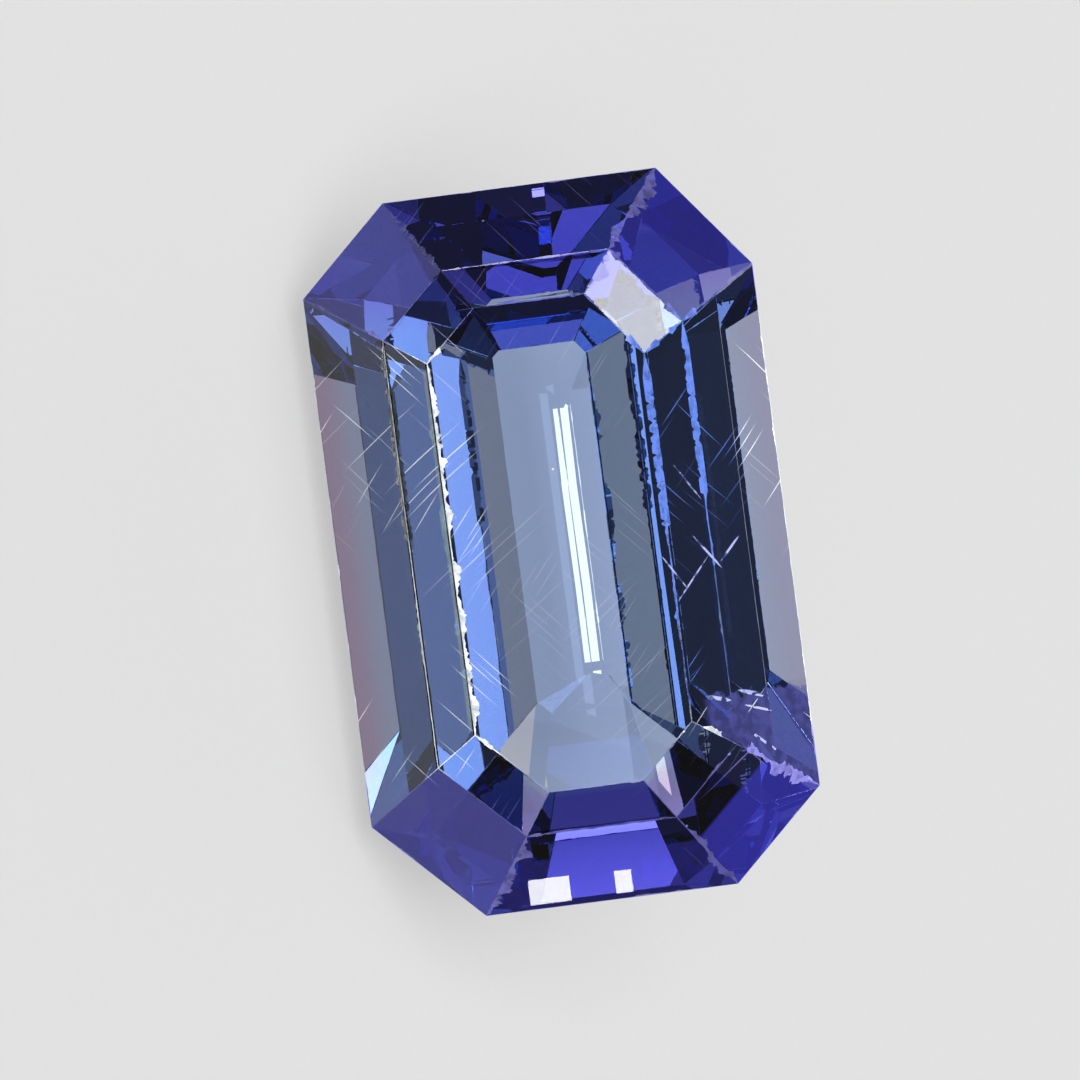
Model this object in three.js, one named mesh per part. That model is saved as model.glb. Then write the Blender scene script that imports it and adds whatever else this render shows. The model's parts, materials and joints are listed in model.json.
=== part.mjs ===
// A loose tanzanite, step-cut as a long octagon ("emerald cut"), lying on one long pavilion facet.
// One closed crystal with flat polished facets. Millimetres, +Z up.
//
// The stone's own frame, before it is laid down: +Z out of the table, X along the length, with the
// steep end at -X and the shallow end at +X, and Y across it, with the side that the stone lies on at
// -Y. The girdle's top edge is at z = 0.

import * as THREE from "three";
import { ConvexGeometry } from "three/addons/geometries/ConvexGeometry.js";

// Outline at the girdle.
const LENGTH = 8.0;
const WIDTH = 5.0;
const GIRDLE_THICKNESS = 0.13;

// The four cut corners are a little uneven, as hand-cut corners are: the direction that each faces,
// in degrees from +X, and its distance from the stone's axis.
const CORNERS = [
  { facing: 43, distance: 3.92 },
  { facing: 128, distance: 3.7 },
  { facing: 223, distance: 3.94 },
  { facing: 315, distance: 3.79 },
];

// Each tier is a band of eight facets of one height. Its inset is how far it runs in towards the axis
// in plan, along the long sides and at each end, and its angle is that of the long sides' facets to
// the girdle. The pavilion's shallow end is cut flatter towards the keel than the rest, so one can see
// straight through it from the table.
const CROWN_TIERS = [
  { angle: 38.6, side: 0.85, steepEnd: 0.85, shallowEnd: 0.85 },
  { angle: 25.7, side: 0.46, steepEnd: 0.46, shallowEnd: 0.46 },
];
const PAVILION_TIERS = [
  { angle: 49.7, side: 0.93, steepEnd: 0.77, shallowEnd: 0.43 },
  { angle: 42.2, side: 1.05, steepEnd: 1.0, shallowEnd: 1.68 },
];

// A corner facet runs in further than the mean of the two facets beside it.
const CROWN_CORNER_RATIO = 1.19;
const PAVILION_CORNER_RATIO = 1.07;

// The keel is a narrow flat that closes the pavilion, off the middle towards +Y.
const KEEL_WIDTH = 0.15;
const KEEL_OFFSET = 0.2;
const KEEL_STEEP_END = -1.65;
const KEEL_SHALLOW_END = 1.47;
const KEEL_DROP = 0.16;

// Loose, the stone lies on the long lower pavilion facet at -Y, so its table leans by that angle.
const LEAN_ANGLE = PAVILION_TIERS.at(-1).angle;

const radians = THREE.MathUtils.degToRad;

// The girdle's eight sides in order round the stone, counter-clockwise from the shallow end.
const SIDES = [
  { facing: 0, distance: LENGTH / 2, inset: (tier) => tier.shallowEnd },
  { ...CORNERS[0], inset: (tier) => (tier.cornerRatio * (tier.shallowEnd + tier.side)) / 2 },
  { facing: 90, distance: WIDTH / 2, inset: (tier) => tier.side },
  { ...CORNERS[1], inset: (tier) => (tier.cornerRatio * (tier.steepEnd + tier.side)) / 2 },
  { facing: 180, distance: LENGTH / 2, inset: (tier) => tier.steepEnd },
  { ...CORNERS[2], inset: (tier) => (tier.cornerRatio * (tier.steepEnd + tier.side)) / 2 },
  { facing: 270, distance: WIDTH / 2, inset: (tier) => tier.side },
  { ...CORNERS[3], inset: (tier) => (tier.cornerRatio * (tier.shallowEnd + tier.side)) / 2 },
];

// Where two neighbouring sides, at these distances from the axis, meet at one level.
function meetingPoint(sideA, sideB, distanceA, distanceB, height) {
  const [ax, ay] = [Math.cos(radians(sideA.facing)), Math.sin(radians(sideA.facing))];
  const [bx, by] = [Math.cos(radians(sideB.facing)), Math.sin(radians(sideB.facing))];
  const cross = ax * by - bx * ay;
  return new THREE.Vector3(
    (distanceA * by - distanceB * ay) / cross,
    (distanceB * ax - distanceA * bx) / cross,
    height,
  );
}

// The eight corner points of the stone's outline at one level.
function ring(distances, height) {
  return SIDES.map((side, i) => {
    const next = (i + 1) % SIDES.length;
    return meetingPoint(side, SIDES[next], distances[i], distances[next], height);
  });
}

// The rings where one tier ends and the next begins, from the girdle up (direction 1) or down (-1).
function tierRings(tiers, cornerRatio, startHeight, direction) {
  let distances = SIDES.map((side) => side.distance);
  let height = startHeight;
  return tiers.map((tier) => {
    distances = SIDES.map((side, i) => distances[i] - side.inset({ ...tier, cornerRatio }));
    height += direction * tier.side * Math.tan(radians(tier.angle));
    return ring(distances, height);
  });
}

// The keel flat's four corner points.
function keel(height) {
  return [KEEL_STEEP_END, KEEL_SHALLOW_END].flatMap((x) =>
    [-KEEL_WIDTH / 2, KEEL_WIDTH / 2].map((y) => new THREE.Vector3(x, KEEL_OFFSET + y, height)),
  );
}

// Every facet is flat between two rings with parallel sides, and the stone bulges everywhere, so
// its surface is the hull of its rings.
function stoneGeometry() {
  const girdle = SIDES.map((side) => side.distance);
  const crown = tierRings(CROWN_TIERS, CROWN_CORNER_RATIO, 0, 1);
  const pavilion = tierRings(PAVILION_TIERS, PAVILION_CORNER_RATIO, -GIRDLE_THICKNESS, -1);
  const keelHeight = pavilion.at(-1)[0].z - KEEL_DROP;
  return new ConvexGeometry([
    ...ring(girdle, 0),
    ...ring(girdle, -GIRDLE_THICKNESS),
    ...crown.flat(),
    ...pavilion.flat(),
    ...keel(keelHeight),
  ]);
}

const tanzanite = new THREE.Mesh(
  stoneGeometry(),
  new THREE.MeshStandardMaterial({
    color: 0x4a4fb0,
    roughness: 0.05,
    metalness: 0,
    transparent: true,
    opacity: 0.7,
  }),
);
tanzanite.name = "tanzanite";
tanzanite.rotation.x = radians(LEAN_ANGLE);

// The origin is the middle of the stone's box in plan, on the surface that it lies on.
const laid = new THREE.Group();
laid.add(tanzanite);
laid.updateMatrixWorld(true);
const box = new THREE.Box3().setFromObject(tanzanite, true);
const middle = box.getCenter(new THREE.Vector3());
tanzanite.position.set(-middle.x, -middle.y, -box.min.z);

export default laid;
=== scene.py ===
import json
import math

import bmesh
import bpy
from mathutils import Matrix, Vector, noise


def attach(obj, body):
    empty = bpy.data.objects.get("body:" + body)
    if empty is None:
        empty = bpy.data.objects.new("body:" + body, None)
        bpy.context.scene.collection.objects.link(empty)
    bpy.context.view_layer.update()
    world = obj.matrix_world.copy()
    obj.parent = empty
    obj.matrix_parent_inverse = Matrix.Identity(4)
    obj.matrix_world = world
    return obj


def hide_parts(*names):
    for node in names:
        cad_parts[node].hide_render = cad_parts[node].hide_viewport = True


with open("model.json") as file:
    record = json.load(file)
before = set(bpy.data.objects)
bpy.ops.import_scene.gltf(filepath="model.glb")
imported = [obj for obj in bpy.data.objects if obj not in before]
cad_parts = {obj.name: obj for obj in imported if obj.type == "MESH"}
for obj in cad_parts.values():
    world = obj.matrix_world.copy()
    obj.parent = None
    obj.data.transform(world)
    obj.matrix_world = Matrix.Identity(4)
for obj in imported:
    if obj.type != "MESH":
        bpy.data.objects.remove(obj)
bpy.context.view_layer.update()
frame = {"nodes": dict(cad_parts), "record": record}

mm = 0.001
scene = bpy.context.scene

# The stone's own frame, from the middle of its table: x along it to the shallow end, y across it to the
# raised side, z out of the table.
tableMount = next(mount for mount in frame["record"]["mounts"] if mount["name"] == "table")
tableMiddle = Vector(tableMount["pos_m"])
tableNormal = Vector(tableMount["axis"]).normalized()
leanAngle = math.atan2(-tableNormal.y, tableNormal.z)
stoneToRow = Matrix.Translation(tableMiddle) @ Matrix.Rotation(leanAngle, 4, "X")
rowToStone = stoneToRow.inverted()


# A node's socket that works in Python sums; add() makes any other node.
class Val:
    def __init__(self, tree, socket=None):
        self.tree = tree
        self.socket = socket

    def add(self, kind, settings=None, values=None, out=0):
        node = self.tree.nodes.new(kind)
        for name, value in (settings or {}).items():
            setattr(node, name, value)
        for key, value in (values or {}).items():
            if isinstance(value, Val):
                self.tree.links.new(value.socket, node.inputs[key])
            else:
                node.inputs[key].default_value = value
        return Val(self.tree, node.outputs[out] if node.outputs else None)

    def output(self, name):
        return Val(self.tree, self.socket.node.outputs[name])

    def sum(self, operation, *values, clamp=False):
        settings = {"operation": operation, "use_clamp": clamp}
        return self.add("ShaderNodeMath", settings, dict(enumerate(values)))

    def __add__(self, other):
        return self.sum("ADD", self, other)

    def __radd__(self, other):
        return self.sum("ADD", other, self)

    def __sub__(self, other):
        return self.sum("SUBTRACT", self, other)

    def __rsub__(self, other):
        return self.sum("SUBTRACT", other, self)

    def __mul__(self, other):
        return self.sum("MULTIPLY", self, other)

    def __rmul__(self, other):
        return self.sum("MULTIPLY", other, self)

    def __abs__(self):
        return self.sum("ABSOLUTE", self)

    def larger(self, other):
        return self.sum("MAXIMUM", self, other)

    def below(self, other):
        return self.sum("LESS_THAN", self, other)

    def clamped(self):
        return self.sum("ADD", self, 0.0, clamp=True)

    def fade(self, start, end, low=0.0, high=1.0):
        values = {"Value": self, "From Min": start, "From Max": end, "To Min": low, "To Max": high}
        return self.add("ShaderNodeMapRange", {"interpolation_type": "SMOOTHSTEP"}, values)

    def blend(self, first, second):
        values = {"Factor": self, "A": first, "B": second}
        return self.add("ShaderNodeMix", {"data_type": "RGBA"}, values, out=2)


stoneFinish = {
    "refraction": 1.69,
    "bodyColour": (0.10, 0.29, 0.655, 1),  # what is left of white light, per length of crystal
    "bodyDepth": 360.0,
    "endTint": (0.74, 0.40, 1.0, 1),  # the violet of the crown's ends
    "middleTint": (0.93, 0.97, 1.0, 1),
    "frontTierTint": (0.70, 0.90, 1.0, 1),
    "frontRimTint": (1.0, 0.55, 0.62, 1),
    "backRimTint": (1.0, 0.80, 0.86, 1),
    "frostColour": (0.92, 0.98, 1.0, 1),  # worn edges
    "backFrostAndShadeColour": (0.09, 0.18, 0.64, 1),  # those along the raised side, darker and bluer: the shade of that side painted over their wear
    "endFrostColour": (0.20, 0.19, 0.58, 1),  # and round the ends
    "frostRoughness": 0.5,
    "frostGloss": 0.25,
    "crumbDepth": 0.02,  # mm, the relief of what is matt
    "crumbStrength": 0.5,
    "grain": {"Scale": 9.0, "Detail": 3.0},
    # how the grain breaks up what is matt: from and to in the grain, and the shares left there
    "wornGrain": (0.30, 0.62, 0.5, 1.0),
    "scratchGrain": (0.40, 0.55, 0.15, 0.9),
    "fractureGrain": (0.35, 0.65, 0.6, 1.0),
    "hazeColour": (0.042, 0.037, 0.50, 1),  # the violet of the corners
    "haze": 0.25,
    # which of the crown's facets are hazy, by their normals, and how much
    "hazySlope": (0.6, 0.86),  # z
    "cornerSide": 0.2,  # x and y past which a facet is a corner's
    "endSide": 0.5,  # x past which it is the shallow end's
    "shallowCornerHaze": 1.5,
    "steepCornerHaze": 1.0,
    "shallowEndHaze": 0.6,
    "fractureColour": (0.046, 0.050, 0.22, 1),
    "fracture": 0.8,
    "raggedness": 0.3,  # mm that the grain moves the fracture's edge
    "acrossMitre": (0.82, -0.57),  # direction across the mitre that bounds the fracture
    # hairline scratches: direction in degrees, length and spacing in mm, share of the cells with a line,
    # and shift
    "hairs": [
        (41, 3.0, 0.055, 0.40, (0.3, 0.1, 0)),
        (-40, 2.4, 0.055, 0.40, (0.7, 0.4, 0)),
        (-54, 5.0, 0.070, 0.26, (0.5, 0.2, 0)),
    ],
    "hairEdge": (0.14, 0.03),  # in cells from the line's middle, where it fades in
    "hairBend": (0.15, 0.15, 0.0),  # mm
    "hairSway": {"Scale": 0.45, "Detail": 1.0},
    "tableHairs": 0.10,
    "frontHairs": 0.5,  # along the table's front edge
    "crownHairs": 0.75,
    "endHairs": 0.3,  # how many of them are left at the ends
    "pits": 0.7,
    "pitsPerMm": 2.2,
    "pitEdge": (0.045, 0.02),  # in cells from the pit's middle, where it fades in
    "pitShare": 0.25,  # of the cells
    "scratchColour": (0.40, 0.43, 0.72, 1),
    "scratchEdge": (1.0, 0.6),  # in half widths from the scratch's middle, where it fades in
    # the deepest scratches and splinters, on the raised side:
    # from and to (x, y in mm from the table's middle), and width
    "deepScratches": [
        ((-0.70, 1.34), (-0.26, 1.61), 0.022),
        ((0.10, 1.45), (0.52, 1.74), 0.03),
        ((0.44, 1.72), (0.17, 1.97), 0.03),
        ((0.34, 1.61), (0.84, 1.18), 0.022),
        ((0.24, 1.06), (0.70, 1.34), 0.022),
        ((1.88, 1.36), (1.97, 1.66), 0.06),  # from here on round the fracture
        ((1.86, 1.72), (2.00, 2.12), 0.06),
        ((2.03, 1.77), (2.15, 2.09), 0.035),
        ((2.21, 1.68), (2.65, 2.14), 0.04),
    ],
}

# Where the finish changes, in mm in the stone's frame: each zone fades in from its first value to its second.
finishZones = {
    "crown": (-1.15, -0.95),  # z, up from the girdle
    "slopes": (-0.01, -0.04),  # z, off the table
    "girdleTop": (-0.55, -0.85),
    "girdleFoot": (-1.3, -1.1),
    "middle": (3.1, 2.1),  # x to either side
    "ends": (2.2, 2.9),
    "frontTiers": (-1.15, -1.25),  # y
    "frontRim": (-2.05, -2.25),
    "backRim": (2.0, 2.15),
    "tableFront": (-0.70, -0.85),
    "betweenEnds": (3.0, 2.3),  # x to either side
    "endEdges": (2.2, 2.5),
    "backEdges": (0.8, 1.1),  # y
    "backEdgesStop": (2.2, 2.0),
    "backEdgesEnd": (2.1, 1.8),  # x
    "lowHaze": (-0.44, -0.47),  # z
    "fracture": (2.03, 2.07),  # x, with the grain's share in it
    "fractureFront": (1.32, 1.42),  # y
    "fractureMitre": (1.08, 1.04),  # across the mitre
}
wholeHaze = -0.75  # mm, y below which the haze is whole at the shallow end too


def zone(value, name, low=0.0, high=1.0):
    return value.fade(*finishZones[name], low, high)


def largest(values):
    top, *others = values
    for value in others:
        top = top.larger(value)
    return top


# The place as seen from a middle point, turned in the table's plane and in units of a size.
def turned(place, middle, turn, size):
    return place.add("ShaderNodeMapping", {"vector_type": "TEXTURE"}, {
        "Vector": place, "Location": middle, "Rotation": (0, 0, turn), "Scale": size})


# Hairline scratches along one direction: long thin cells, of which only some hold a line.
def hairs(place, turn, reach, breadth, keep, shift):
    along = turned(place, shift, math.radians(turn), (reach, breadth, 1))
    cells = place.add("ShaderNodeTexVoronoi", {"voronoi_dimensions": "2D"}, {"Vector": along, "Scale": 1.0})
    pick = place.add("ShaderNodeSeparateColor", {}, {"Color": cells.output("Color")}, out="Red")
    return cells.fade(*stoneFinish["hairEdge"]) * pick.fade(keep, 0.0)


# One straight scratch between two points, thinner towards its ends.
def scratch(place, start, end, width):
    start, end = Vector(start), Vector(end)
    run = end - start
    middle = ((start + end) / 2).to_3d()
    along = turned(place, middle, math.atan2(run.y, run.x), (run.length / 2, width / 2, 1))
    parts = place.add("ShaderNodeSeparateXYZ", {}, {"Vector": along})
    reach, aside = abs(parts), abs(parts.output("Y"))
    return (reach * reach * reach * reach + aside).fade(*stoneFinish["scratchEdge"])


def pitSpots(place):
    values = {"Vector": place, "Scale": stoneFinish["pitsPerMm"]}
    cells = place.add("ShaderNodeTexVoronoi", {"voronoi_dimensions": "3D"}, values)
    pick = place.add("ShaderNodeSeparateColor", {}, {"Color": cells.output("Color")}, out="Red")
    return cells.fade(*stoneFinish["pitEdge"]) * pick.below(stoneFinish["pitShare"])


# Colour zones of the clear crystal: violet towards both ends, paler and pinker in the thin rims.
def crownTint(x, y, z, crown, slopes):
    middle = zone(abs(x), "middle")
    ends = zone(abs(x), "ends") * crown * slopes
    girdle = zone(z, "girdleTop") * zone(z, "girdleFoot")
    frontTiers = zone(y, "frontTiers") * crown * middle
    frontRim = zone(y, "frontRim") * girdle * middle
    backRim = zone(y, "backRim") * girdle * middle
    tint = ends.blend(stoneFinish["middleTint"], stoneFinish["endTint"])
    tint = frontTiers.blend(tint, stoneFinish["frontTierTint"])
    tint = frontRim.blend(tint, stoneFinish["frontRimTint"])
    return backRim.blend(tint, stoneFinish["backRimTint"])


# Hairline scratches in crossing directions, slightly bent: few on the table and at the ends, most on the
# slopes.
def crownHairs(place, x, y, slopes):
    sway = place.add("ShaderNodeTexNoise", {}, {"Vector": place, **stoneFinish["hairSway"]}, out="Color")
    values = {0: sway, 1: stoneFinish["hairBend"], 2: place}
    bent = place.add("ShaderNodeVectorMath", {"operation": "MULTIPLY_ADD"}, values)
    lines = largest([hairs(bent, *hair) for hair in stoneFinish["hairs"]])
    onTable = zone(y, "tableFront", stoneFinish["tableHairs"], stoneFinish["frontHairs"])
    share = onTable + slopes * (stoneFinish["crownHairs"] - onTable)
    return lines * (share * zone(abs(x), "betweenEnds", stoneFinish["endHairs"], 1.0))


# A fractured patch with a ragged edge, by the raised corner of the shallow end.
def fracturePatch(x, y, crown, grain):
    acrossX, acrossY = stoneFinish["acrossMitre"]
    patch = zone(x + grain * stoneFinish["raggedness"], "fracture") * zone(y, "fractureFront")
    patch = patch * zone(x * acrossX + y * acrossY, "fractureMitre")
    return patch * crown * grain.fade(*stoneFinish["fractureGrain"]) * stoneFinish["fracture"]


def crystalMaterial():
    material = bpy.data.materials.new("polishedTanzanite")
    material.use_nodes = True
    tree = material.node_tree
    tree.nodes.clear()
    new = Val(tree)

    coords = new.add("ShaderNodeTexCoord", out="Object")
    place = new.add("ShaderNodeMapping", {"vector_type": "TEXTURE"}, {
        "Vector": coords, "Location": tableMiddle, "Rotation": (leanAngle, 0, 0), "Scale": (mm, mm, mm)})
    x = new.add("ShaderNodeSeparateXYZ", {}, {"Vector": place})
    y, z = x.output("Y"), x.output("Z")
    crown = zone(z, "crown")
    slopes = zone(z, "slopes")
    tint = crownTint(x, y, z, crown, slopes)

    # worn edges: the mask is set on the faces of the worn edges, broken up by grain
    wear = new.add("ShaderNodeAttribute", {"attribute_name": "wear"}, out="Fac")
    grain = new.add("ShaderNodeTexNoise", {}, {"Vector": place, **stoneFinish["grain"]})
    worn = wear * grain.fade(*stoneFinish["wornGrain"])
    frost = worn.larger(crownHairs(place, x, y, slopes) * crown)
    frost = frost.larger(pitSpots(place) * crown * stoneFinish["pits"]).clamped()
    deep = largest([scratch(place, *line) for line in stoneFinish["deepScratches"]])
    deep = deep * crown * grain.fade(*stoneFinish["scratchGrain"])
    frost = frost.larger(deep)
    # along the raised side the worn edges take a darker blue, which is painted shade of that side over the
    # real wear
    backEdges = zone(y, "backEdges") * zone(y, "backEdgesStop") * zone(x, "backEdgesEnd")
    frostAndShadeTint = backEdges.blend(stoneFinish["frostColour"], stoneFinish["backFrostAndShadeColour"])
    frostAndShadeTint = zone(abs(x), "endEdges").blend(frostAndShadeTint, stoneFinish["endFrostColour"])
    frostAndShadeTint = deep.clamped().blend(frostAndShadeTint, stoneFinish["scratchColour"])

    # a violet haze, set on the facets of the crown's corners; at the shallow end it is only low on the
    # facets, but for the corner on the low side
    haze = new.add("ShaderNodeAttribute", {"attribute_name": "haze"}, out="Fac") * stoneFinish["haze"]
    haze = haze * zone(z, "lowHaze").larger(x.below(0.0)).larger(y.below(wholeHaze))
    fracture = fracturePatch(x, y, crown, grain)
    hazeTint = haze.below(fracture).blend(stoneFinish["hazeColour"], stoneFinish["fractureColour"])
    haze = haze.larger(fracture)
    frostAndShadeTint = frost.below(haze).blend(frostAndShadeTint, hazeTint)

    glass = new.add("ShaderNodeBsdfPrincipled", {}, {
        "Base Color": tint, "Roughness": 0.0, "IOR": stoneFinish["refraction"], "Transmission Weight": 1.0})
    crumbs = new.add("ShaderNodeBump", {}, {
        "Height": grain, "Strength": stoneFinish["crumbStrength"],
        "Distance": stoneFinish["crumbDepth"] * mm})
    rough = new.add("ShaderNodeBsdfPrincipled", {}, {
        "Base Color": frostAndShadeTint, "Roughness": stoneFinish["frostRoughness"], "IOR": stoneFinish["refraction"],
        "Specular IOR Level": stoneFinish["frostGloss"], "Normal": crumbs})
    used = new.add("ShaderNodeMixShader", {}, {0: frost.larger(haze), 1: glass, 2: rough})
    # the wear counts only where light comes in from outside, which spares the inner reflections
    inside = new.add("ShaderNodeNewGeometry", out="Backfacing")
    surface = new.add("ShaderNodeMixShader", {}, {0: crown.larger(wear) * (1 - inside), 1: glass, 2: used})
    body = new.add("ShaderNodeVolumeAbsorption", {}, {
        "Color": stoneFinish["bodyColour"], "Density": stoneFinish["bodyDepth"]})
    new.add("ShaderNodeOutputMaterial", {}, {"Surface": surface, "Volume": body})
    print("crystal material", len(tree.nodes), "nodes")
    return material


stoneWear = {
    "mergeDistance": 0.001,  # mm, within which the solid's loose corners are one
    "flatAngle": 0.4,  # degrees, within which its triangles are one facet
    "edgeWidth": 0.005,  # mm, a crisp edge's wear to either side
    "step": 0.022,  # mm between the points of a worn edge
    "slender": 4,  # a strip's faces are more than this many times as long as wide
    "crownChip": 0.03,  # mm, how far chips eat into a facet
    "girdleChip": 0.02,
    "pavilionChip": 0.01,
    "girdleTop": -0.88,  # mm from the table's plane
    "girdleFoot": -1.3,
    "chipsPerMm": 3.0,
    "often": 0.12,  # more makes chips more frequent
    "biteGain": 1.3,
    "biteCurve": 1.4,  # more makes small bites smaller
    "jagScale": 4.3,  # how much finer than the bites the jags of their rims are
    "crumbScale": 13.0,  # and the crumbs on those
    "jagShift": (7, 3, 1),  # keep jags and crumbs apart from the bites
    "crumbShift": (2, 9, 4),
    "rim": (0.75, 0.9, 0.6),  # shares of the even bite, its jags and its crumbs
    "nicks": 0.12,  # how deep the jags are where there is no bite
    "facetShift": 5,  # keeps the chips of an edge's two facets apart
    # stretches of edge that took more knocks: from and to (x, y in mm from the table's middle),
    # how far chips eat in, how often, and how frosted the worn edge is
    "knocks": [
        ((-2.3, -1.19), (2.2, -1.19), 0.08, 0.75, 1.0),  # the table's front edge
        ((-2.5, -1.65), (-0.4, -1.65), 0.06, 1.0, 1.0),  # the front tier's edge, worst by the steep end
        ((-0.4, -1.65), (2.3, -1.65), 0.03, 0.6, 1.0),
        ((-2.3, 1.19), (-0.2, 1.19), 0.045, 1.7, 1.0),  # the table's back edge
        ((-0.2, 1.19), (0.9, 1.19), 0.04, 0.25, 1.0),
        ((0.9, 1.19), (2.1, 1.19), 0.03, 0.1, 0.25),
        ((-2.5, 1.65), (-0.5, 1.65), 0.045, 1.7, 1.0),  # and the back tier's
        ((-0.5, 1.65), (0.3, 1.65), 0.04, 0.3, 1.0),
        ((0.3, 1.65), (2.4, 1.65), 0.03, 0.1, 0.2),
        ((-4.0, 1.57), (-2.7, 0.62), 0.15, 0.55, 0.45),  # mitre of the steep end, raised side
        ((-4.0, -1.49), (-2.7, -0.61), 0.07, 0.4, 0.1),  # and the low side: clean dark chips
        ((2.12, 1.19), (3.03, 2.5), 0.13, 0.6, 1.0),  # corner at the shallow end, raised side
        ((2.69, 0.58), (4.0, 1.46), 0.08, 0.3, 0.4),
        ((3.15, -0.78), (4.0, -1.36), 0.17, 0.8, 0.6),  # mitre of the shallow end, low side
    ],
    "knockReach": 0.16,  # mm to either side of such a stretch
    "endFrost": 0.45,  # how frosted the other edges round the ends are
    "endsFrom": 2.2,  # mm along the stone from the table's middle
    "cornerTurn": 0.05,  # radians past which a facet's outline has a corner
    "cornerReach": 0.25,  # mm from a facet's corner over which chips grow to full size
}


# How far chips eat in at one place, how often, and how frosted it is there.
def edgeWear(place):
    if place.z < stoneWear["girdleFoot"]:
        return stoneWear["pavilionChip"], stoneWear["often"], 1.0
    if place.z < stoneWear["girdleTop"]:
        return stoneWear["girdleChip"], stoneWear["often"], 1.0
    here = place.xy
    for start, end, reach, often, frosted in stoneWear["knocks"]:
        start, end = Vector(start), Vector(end)
        run = end - start
        share = min(1.0, max(0.0, (here - start).dot(run) / run.length_squared))
        if (start + run * share - here).length < stoneWear["knockReach"]:
            return reach, often, frosted
    frosted = stoneWear["endFrost"] if abs(place.x) > stoneWear["endsFrom"] else 1.0
    return stoneWear["crownChip"], stoneWear["often"], frosted


# How much of a bite is out of an edge at a place: broad bites with jagged rims.
def chipNoise(place, often):
    near = place * stoneWear["chipsPerMm"]
    broad = noise.noise(near)
    fine = noise.noise(near * stoneWear["jagScale"] + Vector(stoneWear["jagShift"]))
    crumbs = noise.noise(near * stoneWear["crumbScale"] + Vector(stoneWear["crumbShift"]))
    even, jagShare, crumbShare = stoneWear["rim"]
    bite = max(0.0, broad * stoneWear["biteGain"] + often) ** stoneWear["biteCurve"]
    bite *= even + jagShare * fine + crumbShare * crumbs
    return min(1.0, max(0.0, bite + stoneWear["nicks"] * max(0.0, fine)))


# The steep facets of the crown's corners are hazy, and the one at the shallow end a little.
def facetHaze(normal):
    lowest, highest = stoneFinish["hazySlope"]
    if not lowest < normal.z < highest:
        return 0.0
    if min(abs(normal.x), abs(normal.y)) > stoneFinish["cornerSide"]:
        return stoneFinish["shallowCornerHaze"] if normal.x > 0 else stoneFinish["steepCornerHaze"]
    return stoneFinish["shallowEndHaze"] if normal.x > stoneFinish["endSide"] else 0.0


# The lines of the worn edges by how many cuts they take: those side by side along one edge take the same.
def linesByCuts(shape, strips):
    lead = {edge: edge for edge in shape.edges}

    def leader(edge):
        while lead[edge] is not edge:
            edge = lead[edge]
        return edge

    for face in strips:
        if len(face.edges) == 4:
            a, b, c, d = face.edges
            for one, other, side in ((a, c, b), (b, d, a)):
                if one.calc_length() > stoneWear["slender"] * side.calc_length():
                    lead[leader(one)] = leader(other)
    rows = {}
    for edge in shape.edges:
        rows.setdefault(leader(edge), []).append(edge)
    byCuts = {}
    for row in rows.values():
        length = sum(edge.calc_length() for edge in row) / len(row) / mm
        cuts = round(length / stoneWear["step"]) - 1
        if len(row) > 1 and cuts > 0:
            byCuts.setdefault(cuts, []).extend(row)
    return sorted(byCuts.items())


# Chips bite into the facets, each within its own plane, and the row between follows half way.
def chipEdges(shape, wear):
    moves = {}
    for facet in shape.faces:
        if facet[wear] > 0:
            continue
        ahead = {loop: loop.link_loop_next.vert.co - loop.vert.co for loop in facet.loops}
        corners = [loop for loop in facet.loops
                   if ahead[loop.link_loop_prev].angle(ahead[loop]) > stoneWear["cornerTurn"]]
        for loop in facet.loops:
            if loop in corners:
                continue
            inward = facet.normal.cross(ahead[loop]).normalized()
            place = rowToStone @ loop.vert.co / mm
            reach, often, _ = edgeWear(place)
            away = min((loop.vert.co - corner.vert.co).length for corner in corners) / mm
            reach *= min(1.0, away / stoneWear["cornerReach"])
            bite = chipNoise(place + facet.normal * stoneWear["facetShift"], often)
            moves[loop.vert] = inward * reach * bite * mm
    follow = {}
    for vert, move in moves.items():
        for edge in vert.link_edges:
            other = edge.other_vert(vert)
            if other not in moves and all(face[wear] > 0 for face in other.link_faces):
                follow[other] = follow.get(other, Vector()) + move / 2
    for vert, move in list(moves.items()) + list(follow.items()):
        vert.co += move


def makeStone():
    shape = bmesh.new()
    shape.from_mesh(frame["nodes"]["tanzanite"].data)
    bmesh.ops.remove_doubles(shape, verts=shape.verts, dist=stoneWear["mergeDistance"] * mm)
    bmesh.ops.dissolve_limit(shape, angle_limit=math.radians(stoneWear["flatAngle"]),
                             verts=shape.verts, edges=shape.edges)
    print("facets", len(shape.faces))

    # every edge is worn to a narrow strip of two rows of faces
    wear = shape.faces.layers.float.new("wear")
    haze = shape.faces.layers.float.new("haze")
    worn = bmesh.ops.bevel(shape, geom=list(shape.edges), offset=stoneWear["edgeWidth"] * mm,
                           offset_type="OFFSET", segments=2, profile=0.5, affect="EDGES", material=-1,
                           clamp_overlap=True)["faces"]
    for face in worn:
        face[wear] = 1.0
    for cuts, edges in linesByCuts(shape, worn):
        bmesh.ops.subdivide_edges(shape, edges=edges, cuts=cuts, use_grid_fill=True)
    print("worn edges", len(shape.faces), "faces")

    chipEdges(shape, wear)
    for face in shape.faces:
        if face[wear] > 0:
            face[wear] = edgeWear(rowToStone @ face.calc_center_median() / mm)[2]
        else:
            face[haze] = facetHaze((rowToStone.to_3x3() @ face.normal).normalized())
    shape.normal_update()

    mesh = bpy.data.meshes.new("cutStone")
    shape.to_mesh(mesh)
    shape.free()
    mesh.materials.append(crystalMaterial())
    stone = bpy.data.objects.new("cut_stone", mesh)
    scene.collection.objects.link(stone)
    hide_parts("tanzanite")
    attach(stone, "root")
    print("stone", len(mesh.polygons), "faces")


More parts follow.
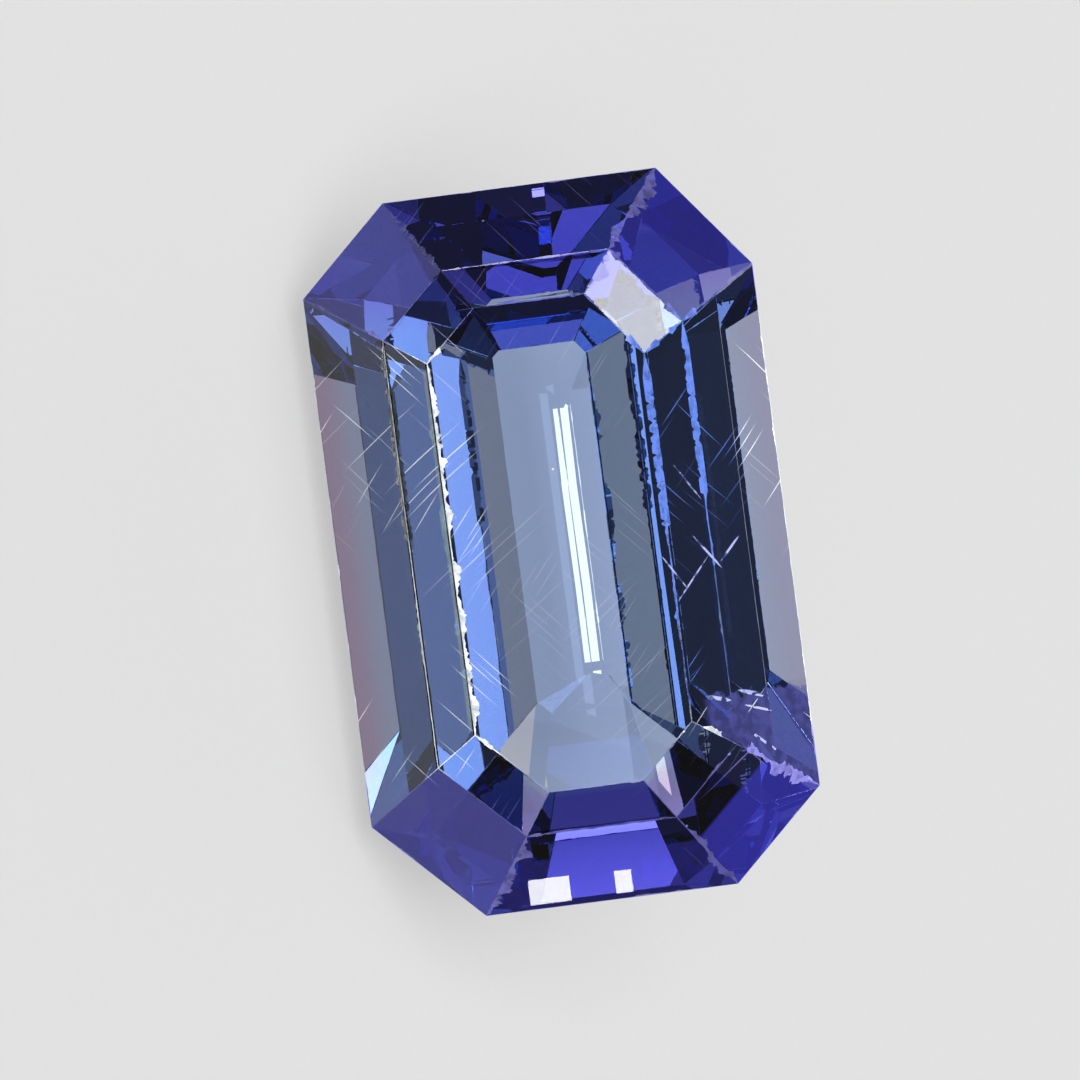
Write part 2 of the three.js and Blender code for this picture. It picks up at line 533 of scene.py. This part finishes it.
floorLook = {
    "radius": 1.2,  # m
    "segments": 96,
    "gap": 0.02,  # mm of air left under the stone, as a polished facet has on any real surface
    "colour": (0.17, 0.17, 0.17, 1),
    "roughness": 0.8,
    "glow": 0.49,  # the floor is a pad lit softly from below
}


def makeFloor():
    shape = bmesh.new()
    bmesh.ops.create_circle(shape, cap_ends=True, segments=floorLook["segments"], radius=floorLook["radius"],
                            matrix=Matrix.Translation((0, 0, -floorLook["gap"] * mm)))
    mesh = bpy.data.meshes.new("floor")
    shape.to_mesh(mesh)
    shape.free()
    material = bpy.data.materials.new("paleFloor")
    material.use_nodes = True
    material.node_tree.nodes.clear()
    new = Val(material.node_tree)
    surface = new.add("ShaderNodeBsdfPrincipled", {}, {
        "Base Color": floorLook["colour"], "Roughness": floorLook["roughness"], "Specular IOR Level": 0.0,
        "Emission Color": (1, 1, 1, 1), "Emission Strength": floorLook["glow"]})
    new.add("ShaderNodeOutputMaterial", {}, {"Surface": surface})
    material.cycles.emission_sampling = "NONE"
    mesh.materials.append(material)
    floor = bpy.data.objects.new("floor", mesh)
    scene.collection.objects.link(floor)
    print("floor")


cameraView = {
    "distance": 80.0,  # mm from the girdle's middle
    "frameWidth": 11.99,  # mm across the picture at the girdle
    "framePixels": 1080,  # and in pixels
    "sensorWidth": 36,  # mm
    "turn": 7.4,  # degrees that the stone's length is turned in the picture
    "tilt": (1.55, 0.19),  # degrees off the table's normal, to the back and to the steep end
    "stonePixel": (561.5, 542.0),  # where the girdle's middle is in the picture
    "girdleDepth": 0.90,  # mm from the table down to the girdle
}


def makeCamera():
    right = stoneToRow.to_3x3() @ Vector((0, 1, 0))
    along = stoneToRow.to_3x3() @ Vector((-1, 0, 0))
    tiltBack, tiltAlong = (math.sin(math.radians(angle)) for angle in cameraView["tilt"])
    view = (tableNormal + right * tiltBack + along * tiltAlong).normalized()
    turn = math.radians(cameraView["turn"])
    up = along * math.cos(turn) + right * math.sin(turn)
    up = (up - view * up.dot(view)).normalized()
    side = up.cross(view)
    pixel = cameraView["frameWidth"] / cameraView["framePixels"]
    centre = cameraView["framePixels"] / 2
    px, py = cameraView["stonePixel"]
    middle = stoneToRow @ Vector((0, 0, -cameraView["girdleDepth"] * mm))
    middle += (up * (py - centre) - side * (px - centre)) * pixel * mm
    camera = bpy.data.cameras.new("camera")
    camera.sensor_width = cameraView["sensorWidth"]
    camera.lens = cameraView["sensorWidth"] * cameraView["distance"] / cameraView["frameWidth"]
    camera.clip_start = mm
    cameraObject = bpy.data.objects.new("camera", camera)
    cameraObject.matrix_world = Matrix.Translation(middle + view * cameraView["distance"] * mm) @ \
        Matrix((side, up, view)).transposed().to_4x4()
    scene.collection.objects.link(cameraObject)
    scene.camera = cameraObject
    print("camera")


# Soft boxes on a dome round the stone: azimuth, elevation, width and height in degrees, brightness, colour
# and, for some, a turn. Azimuth 0 is the shallow end, 90 the raised side, 270 the side that the table faces.
# Head and foot are where the stone shows them, at the steep and at the shallow end.
softBoxes = {
    "frontLow": (270, 35.7, 30, 7.4, 2.4, (1, 1, 1)),
    "frontMiddle": (270, 42.2, 30, 5.6, 0.28, (1, 1, 1)),
    "frontWarm": (270, 49.185, 30, 2.75, 1.0, (1.7, 1.17, 0.6)),
    "frontHigh": (270, 52.53, 30, 3.94, 0.66, (1, 1, 1)),
    "frontLine": (270, 62.545, 20, 2.91, 2.5, (1, 1, 1)),
    "headSide": (309, 31, 36, 26, 1.8, (1, 1, 1)),
    "footSide": (226, 36, 22, 14, 0.62, (1, 1, 1)),
    "headGlint": (199, 17, 10, 7, 8.0, (1, 1, 1)),
    "cornerGlint": (190, 62, 9, 9, 8.0, (1, 1, 1)),
    "backLow": (90, 18, 90, 18, 2.5, (1, 1, 1)),
    "backRim": (90, 36, 40, 6, 0.7, (1, 0.72, 0.6)),
    "footGlint": (352.0, 6.02, 0.337, 0.205, 13.0, (1, 1, 1), 42.7),
    "smallFootGlint": (352.45, 6.43, 0.14, 0.183, 13.0, (1, 1, 1), 42.7),
}
studio = {"distance": 3.0, "middle": (0, 0, 1.8), "ambient": 0.09}  # distance in m, the dome's middle in mm

# Small light pads flat on the floor, unseen by the camera: middle and size in mm, turn in degrees, brightness
# and colour. Those of the keel make the bright strip in the table.
keelGlow = (2.3, (1, 0.87, 0.47))
lightPads = {
    "keelHead": ((-1.09, 1.958, 0.0), (0.84, 0.120), -0.9, *keelGlow),
    "keelMiddle": ((-0.09, 1.954, 0.0), (1.18, 0.124), 0.7, *keelGlow),
    "keelFoot": ((0.935, 1.956, 0.0), (0.89, 0.122), -0.6, *keelGlow),
    "keelTip": ((-1.495, 1.985, 0.0), (0.11, 0.05), -35, *keelGlow),
    "keelSide": ((0.0, 1.79, -0.01), (3.4, 0.14), 0, 0.20, (1, 1, 1)),
    "underHead": ((-0.455, 1.35, -0.012), (4.69, 1.9), 0, 0.22, (1, 1, 1)),
    "underPad": ((-0.1, 1.35, -0.012), (5.4, 1.9), 0, 0.16, (1, 1, 1)),
    "rimPad": ((0.0, 0.7, -0.01), (5.0, 0.6), 0, 0.48, (1, 0.62, 0.2)),
    "footPad": ((-8.0, 1.5, 0.0), (2.8, 2.6), 0, 4.0, (1, 1, 1)),
}

# A wide overhead light for matt surfaces alone, which leaves the reflections as they are; in m.
fillLight = {"height": 2.0, "size": 2.5, "brightness": 3.6}


def areaLight(name, size, brightness, colour, place):
    light = bpy.data.lights.new(name, "AREA")
    light.shape = "RECTANGLE"
    light.size, light.size_y = size
    light.energy = brightness * math.pi * light.size * light.size_y
    light.color = colour
    lamp = bpy.data.objects.new(name, light)
    lamp.matrix_world = place
    scene.collection.objects.link(lamp)
    return lamp


def makeLights():
    world = bpy.data.worlds.new("studio")
    world.use_nodes = True
    background = world.node_tree.nodes["Background"]
    background.inputs["Color"].default_value = (1, 1, 1, 1)
    background.inputs["Strength"].default_value = studio["ambient"]
    scene.world = world
    reach = studio["distance"]
    for name, (azimuth, elevation, width, height, brightness, colour, *turn) in softBoxes.items():
        az, el = math.radians(azimuth), math.radians(elevation)
        away = Vector((math.cos(el) * math.cos(az), math.cos(el) * math.sin(az), math.sin(el))) * reach
        size = [2 * reach * math.tan(math.radians(angle / 2)) for angle in (width, height)]
        place = Matrix.Translation(away + Vector(studio["middle"]) * mm) @ \
            (-away).to_track_quat("-Z", "Y").to_matrix().to_4x4() @ \
            Matrix.Rotation(math.radians(sum(turn)), 4, "Z")
        areaLight(name, size, brightness, colour, place)
    for name, (middle, size, turn, brightness, colour) in lightPads.items():
        place = Matrix.Translation(Vector(middle) * mm) @ \
            Matrix.Rotation(math.radians(turn), 4, "Z") @ Matrix.Rotation(math.pi, 4, "X")
        pad = areaLight(name, [length * mm for length in size], brightness, colour, place)
        pad.visible_camera = False
    size = (fillLight["size"], fillLight["size"])
    above = Matrix.Translation((0, 0, fillLight["height"]))
    fill = areaLight("fillLight", size, fillLight["brightness"], (1, 1, 1), above)
    fill.visible_camera = fill.visible_glossy = fill.visible_transmission = False
    print("lights", len(softBoxes) + len(lightPads) + 1)


lightTurns = {"inStone": 12, "onMatt": 2}  # how often light may turn

makeStone()
makeFloor()
makeCamera()
makeLights()
scene.view_settings.view_transform = "Standard"
scene.cycles.max_bounces = lightTurns["inStone"]
scene.cycles.transmission_bounces = lightTurns["inStone"]
scene.cycles.glossy_bounces = lightTurns["inStone"]
scene.cycles.diffuse_bounces = lightTurns["onMatt"]
# a noise filter on colour alone and an even sampling pattern leave no grain on the facets
scene.cycles.denoising_input_passes = "RGB"
scene.cycles.sampling_pattern = "TABULATED_SOBOL"
